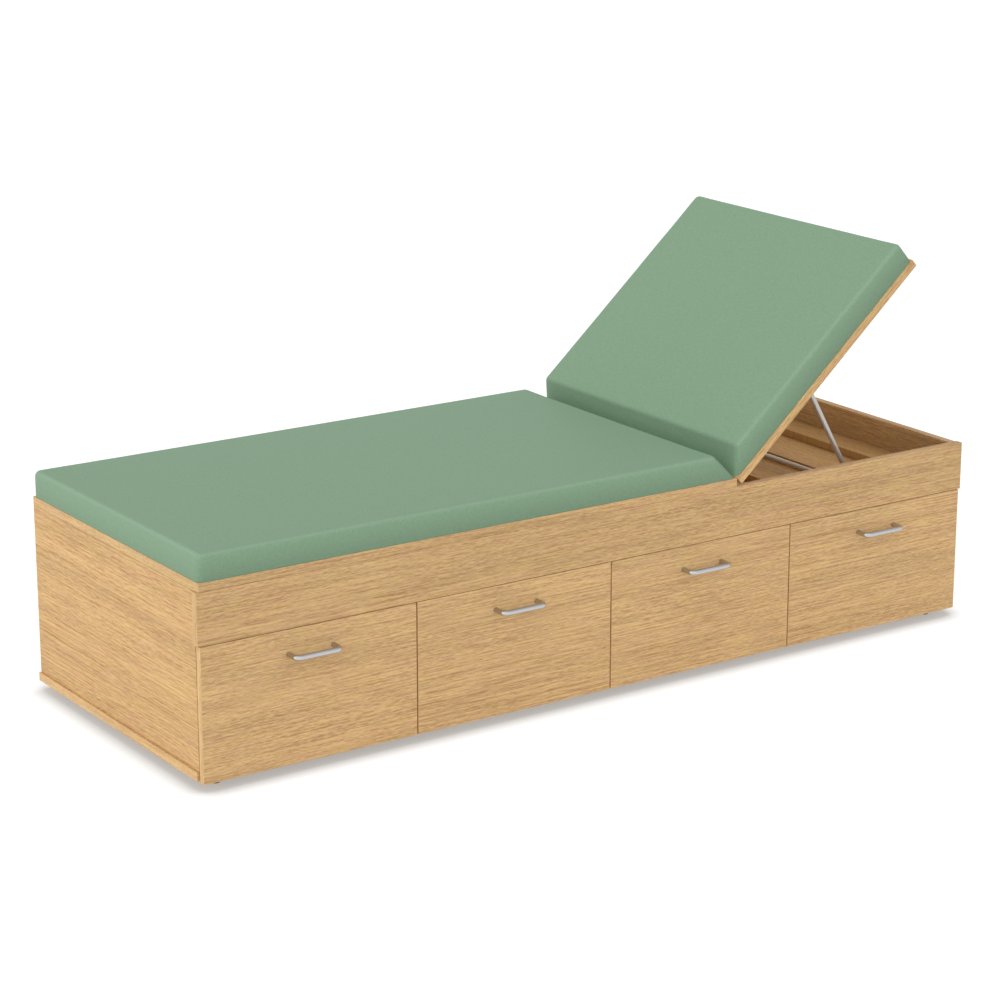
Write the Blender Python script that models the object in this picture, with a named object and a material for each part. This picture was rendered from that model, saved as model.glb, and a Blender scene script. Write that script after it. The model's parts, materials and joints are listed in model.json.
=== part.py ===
"""Sick bay bed: an oak laminate box bed with four drawers, a fixed seat deck and a
hinged backrest that a bent rod stay props on a flight of steps in the head compartment.

Metres, +Z up, +X towards the head, drawers open towards -Y. The origin lies on the
floor under the middle of the bed. The model is the propped pose: backrest raised.
"""
import math

import bmesh
import bpy
from mathutils import Vector

# Overall size and boards
LENGTH = 1.900                  # front rail and bottom board, end to end
DEPTH = 0.700                   # drawer face to back
BOARD = 0.018                   # laminate board
END_INSET = 0.005               # end panels stand in from the rail ends
FIT = 0.0003                    # clearance between pieces that touch
EDGE_RADIUS = 0.0006            # rounded edge banding

# Heights of the case
FOOT_HEIGHT = 0.0195            # floor to underside of the bottom board
FRONT_DROP = 0.002              # drawer fronts hang below the bottom board
FRONT_HEIGHT = 0.2732           # drawer front
FRONT_GAP = 0.003               # shadow gap between drawer fronts
RAIL_GAP = 0.0013               # shadow gap under the front rail
RAIL_HEIGHT = 0.105             # front rail over the drawers
FLOOR_DROP = 0.012              # compartment floor below the lower edge of the rail

# Feet
FOOT_RADIUS = 0.010
FOOT_NECK_RADIUS = 0.0075
FOOT_RIM = 0.005                # height of the glide's rounded rim
FOOT_FROM_END = 0.047           # foot centre from the end panels' outer faces
FOOT_FROM_SIDE = 0.043          # foot centre from the drawer face and the back

# Drawers
DRAWERS = 4
FRONT_BUFFER = 0.002            # gap between a drawer front and the case
BOX_WALL = 0.015
BOX_BEHIND = 0.065              # room behind the drawer box
BOX_UNDER = 0.014               # room under the drawer box
BOX_OVER = 0.038                # room over the drawer box
BOX_BOTTOM = 0.006
GROOVE_RISE = 0.012             # lower edge of the groove above the box's lower edge
GROOVE_DEPTH = 0.008
SLIDE_THICKNESS = 0.0127        # space for a slide beside the box
SLIDE_HEIGHT = 0.045
SLIDE_SHEET = 0.0012
SLIDE_FLANGE = 0.0092
SLIDE_RUN_GAP = 0.0006          # ball race between the two slide members
SLIDE_RISE = 0.060              # lower edge of the slide above the box's lower edge
SLIDE_SETBACK = 0.004           # slide behind the front edge of the case

# Drawer handles
HANDLE_CENTRES = 0.100
HANDLE_BAR = 0.010
HANDLE_PROJECTION = 0.036
HANDLE_BEND = 0.011
HANDLE_BELOW_TOP = 0.049

# Deck, backrest and hinge
HINGE_FROM_FOOT = 1.268         # hinge axis from the outer face of the foot panel
PIN_RADIUS = 0.0012
KNUCKLE_BORE = 0.0015
KNUCKLE_RADIUS = 0.003
LEAF_SHEET = 0.001
LEAF_SETBACK = 0.0004           # leaf's inner face from the hinge plane
LEAF_HEIGHT = 0.0105
HINGE_END_INSET = 0.030         # hinge stops short of the board's sides
KNUCKLES = 16
KNUCKLE_GAP = 0.0004
BACKREST_ANGLE = math.radians(41.5)
BACKREST_END_INSET = 0.0045     # backrest board short of the head panel's outer face
BEARER_AT = 0.630               # middle deck bearer from the foot panel's outer face
DIVIDER_SETBACK = 0.021         # compartment divider behind the hinge axis

# Steps for the stay, each a board on the one below
STEPS = 3
STEP_TREAD = 0.1175
HEAD_TREAD = 0.070              # highest tread, against the head panel

# Stay of bent rod, hung under the backrest
ROD = 0.011
STAY_PIVOT_ALONG = 0.281        # pivot from the hinge axis, along the backrest
STAY_PIVOT_BELOW = 0.030        # pivot under the hinge axis, square to the backrest
STAY_LEG_INSET = 0.0665         # legs in from the backrest's sides
STAY_BEND = 0.016
STAY_PIN_REACH = 0.022          # bent end from leg centre to tip
STAY_STEP = 2                   # step that the cross bar stands before
BAR_SETBACK = 0.0425            # cross bar before that step's face
BAR_LIFT = 0.0019               # cross bar's underside over that step's top
BRACKET_SHEET = 0.003
BRACKET_LENGTH = 0.040
BRACKET_FLANGE = 0.022
BRACKET_EYE = 0.0105            # metal below the pivot

# Cushions
CUSHION_THICKNESS = 0.055
CUSHION_CROWN = 0.003
CUSHION_TUCK = 0.0012           # sides drawn in at mid height
CUSHION_EDGE = 0.009
CUSHION_SIDE_INSET = 0.001
CUSHION_END_INSET = 0.001
CUSHION_HINGE_INSET = 0.002     # lower edge of each bevelled end from the hinge axis
SEAT_BEVEL = 0.055              # top of the seat cushion short of its base at the hinge
BACKREST_BEVEL = 0.043          # top of the backrest cushion short of its base at the hinge

# Finishes: colour, roughness, metallic
OAK = ((0.62, 0.41, 0.20, 1.0), 0.5, 0.0)
BIRCH_PLY = ((0.70, 0.55, 0.36, 1.0), 0.55, 0.0)
VINYL = ((0.24, 0.36, 0.25, 1.0), 0.5, 0.0)
SATIN_CHROME = ((0.72, 0.72, 0.72, 1.0), 0.25, 1.0)
BRIGHT_STEEL = ((0.62, 0.62, 0.63, 1.0), 0.35, 1.0)
ZINC_STEEL = ((0.55, 0.56, 0.57, 1.0), 0.4, 1.0)
BLACK_PLASTIC = ((0.02, 0.02, 0.02, 1.0), 0.5, 0.0)

# Planes worked out from the sizes above
FRONT_Y = -(DEPTH - HANDLE_PROJECTION) / 2
BACK_Y = FRONT_Y + DEPTH
CASE_FRONT_Y = FRONT_Y + BOARD + FIT
BACK_INNER_Y = BACK_Y - BOARD - FIT
FOOT_X = -LENGTH / 2 + END_INSET
HEAD_X = LENGTH / 2 - END_INSET
FOOT_INNER_X = FOOT_X + BOARD
HEAD_INNER_X = HEAD_X - BOARD
BOTTOM_TOP_Z = FOOT_HEIGHT + BOARD
FRONT_BOTTOM_Z = FOOT_HEIGHT - FRONT_DROP
FRONT_TOP_Z = FRONT_BOTTOM_Z + FRONT_HEIGHT
RAIL_BOTTOM_Z = FRONT_TOP_Z + RAIL_GAP
RAIL_TOP_Z = RAIL_BOTTOM_Z + RAIL_HEIGHT
FLOOR_TOP_Z = RAIL_BOTTOM_Z - FLOOR_DROP
FLOOR_BOTTOM_Z = FLOOR_TOP_Z - BOARD
DECK_BOTTOM_Z = RAIL_TOP_Z + FIT
DECK_TOP_Z = DECK_BOTTOM_Z + BOARD
HINGE_X = FOOT_X + HINGE_FROM_FOOT
HINGE_Z = DECK_TOP_Z - KNUCKLE_RADIUS
MIDDLE_Y = (FRONT_Y + BACK_Y) / 2
BAY = (HEAD_INNER_X - FOOT_INNER_X - (DRAWERS - 1) * BOARD) / DRAWERS
BOX_WIDTH = BAY - 2 * SLIDE_THICKNESS
BOX_LOW_Z = BOTTOM_TOP_Z + BOX_UNDER
FRONT_THICKNESS = BOARD - FRONT_BUFFER
BOX_FRONT_Y = FRONT_Y + FRONT_THICKNESS + FIT
BOX_LENGTH = BACK_INNER_Y - BOX_BEHIND - BOX_FRONT_Y
BOARD_END_GAP = LEAF_SETBACK + LEAF_SHEET + FIT
HINGE_LENGTH = DEPTH - 2 * HINGE_END_INSET

for leftover in list(bpy.data.objects):
    bpy.data.objects.remove(leftover)


def add_object(name, mesh, finish, parent=None, location=(0, 0, 0)):
    """Put a mesh or curve in the scene as a named piece with its own material."""
    colour, roughness, metallic = finish
    material = bpy.data.materials.new(name)
    material.use_nodes = True
    shader = material.node_tree.nodes["Principled BSDF"]
    shader.inputs["Base Color"].default_value = colour
    shader.inputs["Roughness"].default_value = roughness
    shader.inputs["Metallic"].default_value = metallic
    mesh.materials.append(material)
    piece = bpy.data.objects.new(name, mesh)
    bpy.context.scene.collection.objects.link(piece)
    piece.parent = parent
    piece.location = location
    return piece


def add_empty(name, location, parent=None, turn=0.0):
    """A parent on a joint's axis, turned about Y."""
    empty = bpy.data.objects.new(name, None)
    bpy.context.scene.collection.objects.link(empty)
    empty.parent = parent
    empty.location = location
    empty.rotation_euler = (0, turn, 0)
    return empty


def mesh_from(name, build, smooth_angle=None):
    """A mesh from a bmesh, with its faces pointing out."""
    bmesh.ops.recalc_face_normals(build, faces=build.faces[:])
    mesh = bpy.data.meshes.new(name)
    build.to_mesh(mesh)
    build.free()
    if smooth_angle:
        mesh.shade_smooth()
        mesh.set_sharp_from_angle(angle=smooth_angle)
    return mesh


def box_build(size):
    build = bmesh.new()
    bmesh.ops.create_cube(build, size=1.0)
    bmesh.ops.scale(build, vec=size, verts=build.verts)
    return build


def extrude_outline(outline, to_point, travel):
    """A prism: each outline point goes through to_point, then the face is drawn along travel."""
    build = bmesh.new()
    face = build.faces.new([build.verts.new(to_point(a, b)) for a, b in outline])
    drawn = bmesh.ops.extrude_face_region(build, geom=[face], use_keep_orig=True)
    moved = [item for item in drawn["geom"] if isinstance(item, bmesh.types.BMVert)]
    bmesh.ops.translate(build, verts=moved, vec=travel)
    return build


def round_edges(piece, radius, segments=2):
    bevel = piece.modifiers.new("edge", 'BEVEL')
    bevel.width = radius
    bevel.segments = segments
    bevel.limit_method = 'ANGLE'


def cut(piece, cutter, operation='DIFFERENCE'):
    """Boolean with a helper object that isn't a piece itself."""
    cutter.hide_render = True
    cutter.display_type = 'WIRE'
    boolean = piece.modifiers.new(cutter.name, 'BOOLEAN')
    boolean.operation = operation
    boolean.object = cutter


def add_helper(name, build, parent=None, location=(0, 0, 0)):
    helper = bpy.data.objects.new(name, mesh_from(name, build))
    bpy.context.scene.collection.objects.link(helper)
    helper.parent = parent
    helper.location = location
    return helper


def add_board(name, low, high, finish=OAK, parent=None, edge=EDGE_RADIUS, segments=2):
    """A rectangular board between two corners, with rounded edges."""
    low = Vector(low)
    high = Vector(high)
    piece = add_object(name, mesh_from(name, box_build(high - low)), finish, parent, (low + high) / 2)
    round_edges(piece, edge, segments)
    return piece


def add_rod(name, corners, bend, radius, finish, parent=None, bend_steps=5, sides=3):
    """Round rod along straight runs, with an arc of radius bend at each inner corner."""
    corners = [Vector(corner) for corner in corners]
    path = [corners[0]]
    for before, corner, after in zip(corners, corners[1:], corners[2:]):
        to_before = (before - corner).normalized()
        to_after = (after - corner).normalized()
        half = to_before.angle(to_after) / 2
        centre = corner + (to_before + to_after).normalized() * (bend / math.sin(half))
        start = corner + to_before * (bend / math.tan(half)) - centre
        end = corner + to_after * (bend / math.tan(half)) - centre
        path += [centre + start.slerp(end, step / bend_steps) * bend for step in range(bend_steps + 1)]
    path.append(corners[-1])
    curve = bpy.data.curves.new(name, 'CURVE')
    curve.dimensions = '3D'
    curve.bevel_depth = radius
    curve.bevel_resolution = sides
    curve.use_fill_caps = True
    spline = curve.splines.new('POLY')
    spline.points.add(len(path) - 1)
    for point, place in zip(spline.points, path):
        point.co = (*place, 1.0)
    return add_object(name, curve, finish, parent)


# Case: bottom board, end panels, back, partitions and the compartment floor
def make_case():
    add_board("bottom_board", (-LENGTH / 2, CASE_FRONT_Y, FOOT_HEIGHT), (LENGTH / 2, BACK_Y, BOTTOM_TOP_Z))
    panel_bottom = BOTTOM_TOP_Z + FIT
    for name, outer_low, outer_high in (("foot_end_panel", FOOT_X, FOOT_INNER_X),
                                        ("head_end_panel", HEAD_INNER_X, HEAD_X)):
        add_board(name, (outer_low, CASE_FRONT_Y, panel_bottom), (outer_high, BACK_Y, RAIL_TOP_Z))
    inner_low = FOOT_INNER_X + FIT
    inner_high = HEAD_INNER_X - FIT
    add_board("back_panel", (inner_low, BACK_Y - BOARD, panel_bottom), (inner_high, BACK_Y, RAIL_TOP_Z))
    add_board("compartment_floor", (inner_low, CASE_FRONT_Y, FLOOR_BOTTOM_Z),
              (inner_high, BACK_INNER_Y, FLOOR_TOP_Z), segments=1)
    for number in range(1, DRAWERS):
        left = FOOT_INNER_X + number * BAY + (number - 1) * BOARD
        add_board(f"partition_{number}", (left, CASE_FRONT_Y, panel_bottom),
                  (left + BOARD, BACK_INNER_Y, FLOOR_BOTTOM_Z - FIT), segments=1)
    add_board("front_rail", (-LENGTH / 2, FRONT_Y, RAIL_BOTTOM_Z), (LENGTH / 2, FRONT_Y + BOARD, RAIL_TOP_Z))


# Turned glides under the corners
def make_feet():
    top = FOOT_HEIGHT - FIT
    shoulder = FOOT_RIM + FOOT_RADIUS - FOOT_NECK_RADIUS
    profile = [(0, 0), (FOOT_RADIUS - FOOT_RIM / 3, 0), (FOOT_RADIUS, FOOT_RIM / 3), (FOOT_RADIUS, FOOT_RIM),
               (FOOT_NECK_RADIUS, shoulder), (FOOT_NECK_RADIUS, top), (0, top)]
    turns = 24
    for end, x in (("foot", FOOT_X + FOOT_FROM_END), ("head", HEAD_X - FOOT_FROM_END)):
        for side, y in (("front", FRONT_Y + FOOT_FROM_SIDE), ("back", BACK_Y - FOOT_FROM_SIDE)):
            build = bmesh.new()
            ring = [build.verts.new((radius, 0, z)) for radius, z in profile]
            edges = [build.edges.new(pair) for pair in zip(ring, ring[1:])]
            bmesh.ops.spin(build, geom=ring + edges, cent=(0, 0, 0), axis=(0, 0, 1), angle=math.tau,
                           steps=turns, use_merge=True)
            bmesh.ops.remove_doubles(build, verts=build.verts, dist=0.00001)
            mesh = mesh_from(f"glide_{end}_{side}", build, math.radians(35))
            add_object(f"glide_{end}_{side}", mesh, BLACK_PLASTIC, location=(x, y, 0))


# Flight of steps in the head compartment: boards of falling width, stacked
def step_face_x(number):
    return HEAD_INNER_X - HEAD_TREAD - (STEPS - number) * STEP_TREAD


def make_steps():
    for number in range(1, STEPS + 1):
        low_z = FLOOR_TOP_Z + (number - 1) * BOARD + FIT
        add_board(f"step_board_{number}", (step_face_x(number), CASE_FRONT_Y, low_z),
                  (HEAD_INNER_X - FIT, BACK_INNER_Y, low_z + BOARD - FIT), segments=1)


# Fixed seat deck on its bearers, rebated for the hinge knuckle
def make_deck():
    for name, left in (("deck_bearer", FOOT_X + BEARER_AT),
                       ("compartment_divider", HINGE_X - DIVIDER_SETBACK - BOARD)):
        add_board(name, (left, CASE_FRONT_Y, FLOOR_TOP_Z + FIT),
                  (left + BOARD, BACK_INNER_Y, RAIL_TOP_Z), segments=1)
    deck = add_board("deck_board", (FOOT_X, FRONT_Y, DECK_BOTTOM_Z),
                     (HINGE_X - BOARD_END_GAP, BACK_Y, DECK_TOP_Z))
    rebate_hinge_edge(deck, None, Vector((HINGE_X, MIDDLE_Y, HINGE_Z)))


def rebate_hinge_edge(piece, parent, axis_point):
    """Room for the knuckle along a board's upper edge at the hinge."""
    reach = KNUCKLE_RADIUS + FIT
    helper = add_helper(piece.name + "_rebate", box_build((2 * reach, HINGE_LENGTH + 2 * FIT, 4 * reach)),
                        parent, axis_point + Vector((0, 0, reach)))
    cut(piece, helper)


# Continuous hinge: two leaves with interleaved knuckles on one pin
def make_leaf(name, parent, axis_point, side, first):
    """side -1 is the deck's leaf, +1 the backrest's; first is its first knuckle's number."""
    pitch = HINGE_LENGTH / KNUCKLES
    start = -HINGE_LENGTH / 2
    shoulder = -(KNUCKLE_RADIUS + FIT)
    tooth_top = -(KNUCKLE_RADIUS + KNUCKLE_BORE) / 2
    tooth_inset = 4 * KNUCKLE_GAP
    outline = [(start, -LEAF_HEIGHT - KNUCKLE_RADIUS), (start, shoulder)]
    knuckles = bmesh.new()
    for number in range(first, KNUCKLES, 2):
        low = start + number * pitch + KNUCKLE_GAP / 2
        high = low + pitch - KNUCKLE_GAP
        outline += [(low + tooth_inset, shoulder), (low + tooth_inset, tooth_top),
                    (high - tooth_inset, tooth_top), (high - tooth_inset, shoulder)]
        barrel = bmesh.ops.create_cone(knuckles, cap_ends=True, segments=16, radius1=KNUCKLE_RADIUS,
                                       radius2=KNUCKLE_RADIUS, depth=high - low)
        bmesh.ops.rotate(knuckles, verts=barrel["verts"], matrix=turn_to_y())
        bmesh.ops.translate(knuckles, verts=barrel["verts"], vec=(0, (low + high) / 2, 0))
    outline += [(-start, shoulder), (-start, -LEAF_HEIGHT - KNUCKLE_RADIUS)]
    inner = side * LEAF_SETBACK
    plate = extrude_outline(outline, lambda y, z: (inner, y, z), (side * LEAF_SHEET, 0, 0))
    leaf = add_object(name, mesh_from(name, plate), ZINC_STEEL, parent, axis_point)
    cut(leaf, add_helper(name + "_barrels", knuckles, parent, axis_point), 'UNION')
    cut(leaf, add_helper(name + "_bore", round_bar(KNUCKLE_BORE, HINGE_LENGTH + 0.02), parent, axis_point))


def turn_to_y():
    return Vector((0, 0, 1)).rotation_difference(Vector((0, 1, 0))).to_matrix()


def round_bar(radius, length, sides=16):
    """A closed cylinder along Y."""
    build = bmesh.new()
    bmesh.ops.create_cone(build, cap_ends=True, segments=sides, radius1=radius, radius2=radius, depth=length)
    bmesh.ops.rotate(build, verts=build.verts, matrix=turn_to_y())
    return build


def make_hinge(backrest):
    axis_point = Vector((HINGE_X, MIDDLE_Y, HINGE_Z))
    make_leaf("hinge_leaf_deck", None, axis_point, -1, 0)
    make_leaf("hinge_leaf_backrest", backrest, Vector((0, 0, 0)), 1, 1)
    pin = round_bar(PIN_RADIUS, HINGE_LENGTH, 12)
    add_object("hinge_pin", mesh_from("hinge_pin", pin, math.radians(40)), ZINC_STEEL, None, axis_point)


# Backrest board, in its own frame: hinge axis at the origin, board along +X
def make_backrest_board(backrest):
    underside = DECK_BOTTOM_Z - HINGE_Z
    board = add_board("backrest_board", (BOARD_END_GAP, -DEPTH / 2, underside),
                      (HEAD_X - BACKREST_END_INSET - HINGE_X, DEPTH / 2, underside + BOARD), parent=backrest)
    rebate_hinge_edge(board, backrest, Vector((0, 0, 0)))


# Stay: one bent rod, its out-turned ends held in two brackets under the backrest
def bar_place():
    """Cross bar at rest, as X and Z."""
    step_top = FLOOR_TOP_Z + STAY_STEP * BOARD
    return step_face_x(STAY_STEP) - BAR_SETBACK, step_top + BAR_LIFT + ROD / 2


def make_stay(backrest):
    cosine = math.cos(BACKREST_ANGLE)
    sine = math.sin(BACKREST_ANGLE)
    pivot_x = HINGE_X + STAY_PIVOT_ALONG * cosine + STAY_PIVOT_BELOW * sine
    pivot_z = HINGE_Z + STAY_PIVOT_ALONG * sine - STAY_PIVOT_BELOW * cosine
    bar_x, bar_z = bar_place()
    leg = math.hypot(bar_x - pivot_x, bar_z - pivot_z)
    droop = math.atan2(pivot_z - bar_z, bar_x - pivot_x) + BACKREST_ANGLE
    pivot = add_empty("stay_pivot", (STAY_PIVOT_ALONG, 0, -STAY_PIVOT_BELOW), backrest, droop)
    side = DEPTH / 2 - STAY_LEG_INSET
    tip = side + STAY_PIN_REACH
    corners = [(0, -tip, 0), (0, -side, 0), (leg, -side, 0), (leg, side, 0), (0, side, 0), (0, tip, 0)]
    add_rod("stay_rod", corners, STAY_BEND, ROD / 2, BRIGHT_STEEL, pivot)


def make_brackets(backrest):
    """Bent steel angles: a flange under the board and a round-ended ear with an eye for the rod."""
    flange_top = DECK_BOTTOM_Z - HINGE_Z - FIT
    ear_top = flange_top - BRACKET_SHEET / 2
    ear = DEPTH / 2 - STAY_LEG_INSET + STAY_PIN_REACH - 2 * BRACKET_SHEET
    half = BRACKET_LENGTH / 2
    arc_steps = 8
    turns = [math.pi * step / arc_steps for step in range(arc_steps + 1)]
    outline = [(-half, ear_top)]
    outline += [(-BRACKET_EYE * math.cos(turn), -STAY_PIVOT_BELOW - BRACKET_EYE * math.sin(turn))
                for turn in turns]
    outline += [(half, ear_top)]
    for name, side in (("stay_bracket_front", -1), ("stay_bracket_back", 1)):
        build = extrude_outline(outline, lambda x, z: (x, side * ear, z), (0, side * BRACKET_SHEET, 0))
        bracket = add_object(name, mesh_from(name, build), ZINC_STEEL, backrest, (STAY_PIVOT_ALONG, 0, 0))
        flange = box_build((BRACKET_LENGTH, BRACKET_FLANGE, BRACKET_SHEET))
        flange_place = (STAY_PIVOT_ALONG, side * (ear + BRACKET_FLANGE / 2), flange_top - BRACKET_SHEET / 2)
        cut(bracket, add_helper(name + "_flange", flange, backrest, flange_place), 'UNION')
        eye = round_bar(ROD / 2 + FIT, 4 * BRACKET_SHEET)
        eye_place = (STAY_PIVOT_ALONG, side * (ear + BRACKET_SHEET / 2), -STAY_PIVOT_BELOW)
        cut(bracket, add_helper(name + "_eye", eye, backrest, eye_place))


# Drawers: overlay front, grooved box, bottom panel, bow handle and two slides each
def make_drawer(number):
    bay_left = FOOT_INNER_X + (number - 1) * (BAY + BOARD)
    bay_right = bay_left + BAY
    middle = (bay_left + bay_right) / 2
    drawer = add_empty(f"drawer_{number}", (middle, FRONT_Y, 0))
    left = FOOT_X if number == 1 else bay_left - BOARD / 2 + FRONT_GAP / 2
    right = HEAD_X if number == DRAWERS else bay_right + BOARD / 2 - FRONT_GAP / 2
    add_board(f"drawer_front_{number}", (left - middle, 0, FRONT_BOTTOM_Z),
              (right - middle, FRONT_THICKNESS, FRONT_TOP_Z), parent=drawer)
    make_drawer_box(number, drawer)
    make_handle(number, drawer, (left + right) / 2 - middle)
    make_slides(number, drawer, bay_left, bay_right, middle)


def make_drawer_box(number, drawer):
    height = FLOOR_BOTTOM_Z - BOX_OVER - BOX_LOW_Z
    groove_top = GROOVE_RISE + BOX_BOTTOM + 2 * FIT
    groove_wall = BOX_WALL - GROOVE_DEPTH
    wall = [(0, 0), (0, height), (BOX_WALL, height), (BOX_WALL, groove_top), (groove_wall, groove_top),
            (groove_wall, GROOVE_RISE), (BOX_WALL, GROOVE_RISE), (BOX_WALL, 0)]
    build = bmesh.new()
    rings = [[build.verts.new((x * (BOX_WIDTH / 2 - inset), y * (BOX_LENGTH / 2 - inset), z))
              for inset, z in wall]
             for x, y in ((-1, -1), (1, -1), (1, 1), (-1, 1))]
    for ring, following in zip(rings, rings[1:] + rings[:1]):
        for point in range(len(wall)):
            after = (point + 1) % len(wall)
            build.faces.new((ring[point], following[point], following[after], ring[after]))
    centre_y = BOX_FRONT_Y - FRONT_Y + BOX_LENGTH / 2
    name = f"drawer_box_{number}"
    add_object(name, mesh_from(name, build), BIRCH_PLY, drawer, (0, centre_y, BOX_LOW_Z))
    half_width = BOX_WIDTH / 2 - BOX_WALL + GROOVE_DEPTH - FIT
    half_length = BOX_LENGTH / 2 - BOX_WALL + GROOVE_DEPTH - FIT
    bottom_z = BOX_LOW_Z + GROOVE_RISE + FIT
    name = f"drawer_bottom_{number}"
    panel = mesh_from(name, box_build((2 * half_width, 2 * half_length, BOX_BOTTOM)))
    add_object(name, panel, BIRCH_PLY, drawer, (0, centre_y, bottom_z + BOX_BOTTOM / 2))


def make_handle(number, drawer, centre):
    bar_y = -HANDLE_PROJECTION + HANDLE_BAR / 2
    z = FRONT_TOP_Z - HANDLE_BELOW_TOP
    low = centre - HANDLE_CENTRES / 2
    high = centre + HANDLE_CENTRES / 2
    corners = [(low, -FIT, z), (low, bar_y, z), (high, bar_y, z), (high, -FIT, z)]
    add_rod(f"drawer_handle_{number}", corners, HANDLE_BEND, HANDLE_BAR / 2, SATIN_CHROME, drawer)


def channel(depth, height, sheet):
    """A C channel, web at 0, flanges along +depth."""
    half = height / 2
    return [(0, -half), (depth, -half), (depth, -half + sheet), (sheet, -half + sheet),
            (sheet, half - sheet), (depth, half - sheet), (depth, half), (0, half)]


def make_slides(number, drawer, bay_left, bay_right, middle):
    z = BOX_LOW_Z + SLIDE_RISE
    length = BOX_LENGTH - 2 * SLIDE_SETBACK
    start = CASE_FRONT_Y - FRONT_Y + SLIDE_SETBACK
    inner_height = SLIDE_HEIGHT - 2 * SLIDE_SHEET - 2 * SLIDE_RUN_GAP
    inner_depth = SLIDE_FLANGE - SLIDE_SHEET
    for side, wall_x, into in (("left", bay_left, 1), ("right", bay_right, -1)):
        name = f"case_slide_{number}_{side}"
        outline = channel(SLIDE_FLANGE, SLIDE_HEIGHT, SLIDE_SHEET)
        build = extrude_outline(outline, lambda x, z: (into * x, 0, z), (0, length, 0))
        place = (wall_x + into * FIT, FRONT_Y + start, z)
        add_object(name, mesh_from(name, build), ZINC_STEEL, None, place)
        name = f"drawer_slide_{number}_{side}"
        outline = channel(inner_depth, inner_height, SLIDE_SHEET)
        build = extrude_outline(outline, lambda x, z: (-into * x, 0, z), (0, length, 0))
        box_side = wall_x + into * SLIDE_THICKNESS - middle
        add_object(name, mesh_from(name, build), ZINC_STEEL, drawer, (box_side - into * FIT, start, z))


# Cushions: foam pads with crowned tops and a bevelled end at the hinge
def make_cushion(name, parent, start, end, base_z, bevel_start, bevel_end, centre_y):
    """A pad from start to end along X; its top is shorter by each bevel."""
    cuts_along = 12
    cuts_across = 6
    build = box_build((1, 1, 1))
    planes = [((step / cuts_along - 0.5, 0, 0), (1, 0, 0)) for step in range(1, cuts_along)]
    planes += [((0, step / cuts_across - 0.5, 0), (0, 1, 0)) for step in range(1, cuts_across)]
    planes += [((0, 0, 0), (0, 0, 1))]
    for point, normal in planes:
        bmesh.ops.bisect_plane(build, geom=build.verts[:] + build.edges[:] + build.faces[:],
                               plane_co=point, plane_no=normal)
    weights = build.edges.layers.float.new("bevel_weight_edge")
    for edge in build.edges:
        edge[weights] = cushion_edge_weight([vert.co for vert in edge.verts])
    width = DEPTH - 2 * CUSHION_SIDE_INSET
    for vert in build.verts:
        u, v, w = vert.co
        rise = w + 0.5
        tuck = CUSHION_TUCK * (1 - (2 * w) ** 2)
        along = (start + bevel_start * rise) * (0.5 - u) + (end - bevel_end * rise) * (0.5 + u)
        along -= math.copysign(tuck, u) * (1 - (2 * v) ** 2) if abs(u) > 0.49 else 0
        across = v * width
        across -= math.copysign(tuck, v) * (1 - (2 * u) ** 2) if abs(v) > 0.49 else 0
        crown = CUSHION_CROWN * (1 - (2 * u) ** 4) * (1 - (2 * v) ** 2) if w > 0.49 else 0
        vert.co = (along, centre_y + across, base_z + rise * CUSHION_THICKNESS + crown)
    pad = add_object(name, mesh_from(name, build, math.radians(50)), VINYL, parent)
    bevel = pad.modifiers.new("soft_edge", 'BEVEL')
    bevel.limit_method = 'WEIGHT'
    bevel.width = CUSHION_EDGE
    bevel.segments = 3


def cushion_edge_weight(ends):
    """Full rounding round the top and down the corners, a tight edge at the base."""
    faces = [(axis, sign) for axis in range(3) for sign in (-1, 1)
             if all(sign * end[axis] > 0.49 for end in ends)]
    if len(faces) < 2:
        return 0.0
    return 0.25 if (2, -1) in faces else 1.0


def make_cushions(backrest):
    base = DECK_TOP_Z + FIT
    make_cushion("seat_cushion", None, FOOT_X + CUSHION_END_INSET, HINGE_X - CUSHION_HINGE_INSET, base,
                 0, SEAT_BEVEL, MIDDLE_Y)
    end = HEAD_X - BACKREST_END_INSET - CUSHION_END_INSET - HINGE_X
    make_cushion("backrest_cushion", backrest, CUSHION_HINGE_INSET, end, base - HINGE_Z,
                 BACKREST_BEVEL, 0, 0)


make_case()
make_feet()
make_steps()
make_deck()
backrest_frame = add_empty("backrest_hinge", (HINGE_X, MIDDLE_Y, HINGE_Z), turn=-BACKREST_ANGLE)
make_hinge(backrest_frame)
make_backrest_board(backrest_frame)
make_brackets(backrest_frame)
make_stay(backrest_frame)
for drawer_number in range(1, DRAWERS + 1):
    make_drawer(drawer_number)
make_cushions(backrest_frame)
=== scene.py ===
"""Looks of the sick bay bed: oak laminate case, sage vinyl cushions, bow handles and a
bent rod stay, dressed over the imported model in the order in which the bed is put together.
"""
import json
import math

import bmesh
import bpy
from mathutils import Matrix, Vector


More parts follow.
